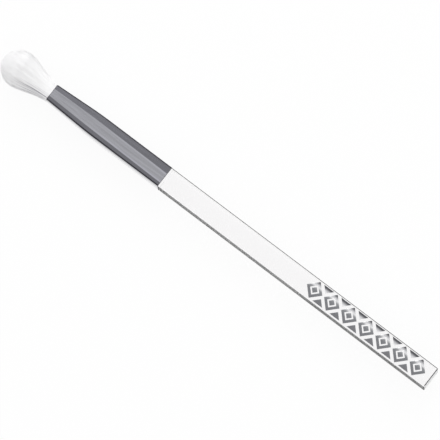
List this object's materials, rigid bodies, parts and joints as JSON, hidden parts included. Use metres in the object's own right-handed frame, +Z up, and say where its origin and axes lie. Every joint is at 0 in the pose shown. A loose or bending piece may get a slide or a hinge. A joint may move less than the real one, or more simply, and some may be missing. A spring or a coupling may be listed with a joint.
{
  "type": "eyeshadow brush",
  "caption": "Slim cosmetic brush: clear square bar handle, tapered grey metal ferrule of square section, and a domed white hair tuft for blending eyeshadow.",
  "frame": {"origin": "under the middle of the brush's length, level with the lowest hairs of the tuft, in the vertical plane through the brush's axis", "axes": "+X along the brush from the tuft towards the butt of the handle, +Z up, out of the face that carries the foil band, +Y across the brush"},
  "size_m": [0.1798, 0.0126, 0.0126],
  "materials": {
    "bristle_hair": "soft white natural or synthetic hair",
    "cotton_thread": "waxed cotton thread",
    "epoxy_glue": "cured epoxy, pale amber",
    "gunmetal_ferrule": "gunmetal grey, satin, fine lengthwise brushing",
    "clear_glue": "clear cured acrylic glue",
    "clear_acrylic": "polished clear acrylic with flame-polished edges",
    "silver_foil": "silver foil inlay, soft gloss"
  },
  "bodies": {
    "root": {"bristle_tuft": "bristle_hair", "root_binding": "cotton_thread", "root_glue_plug": "epoxy_glue", "ferrule_tube": "gunmetal_ferrule", "handle_glue": "clear_glue", "handle_bar": "clear_acrylic", "foil_lozenge_rings": "silver_foil", "foil_lozenge_hearts": "silver_foil", "foil_triangles": "silver_foil"}
  },
  "joints": []
}
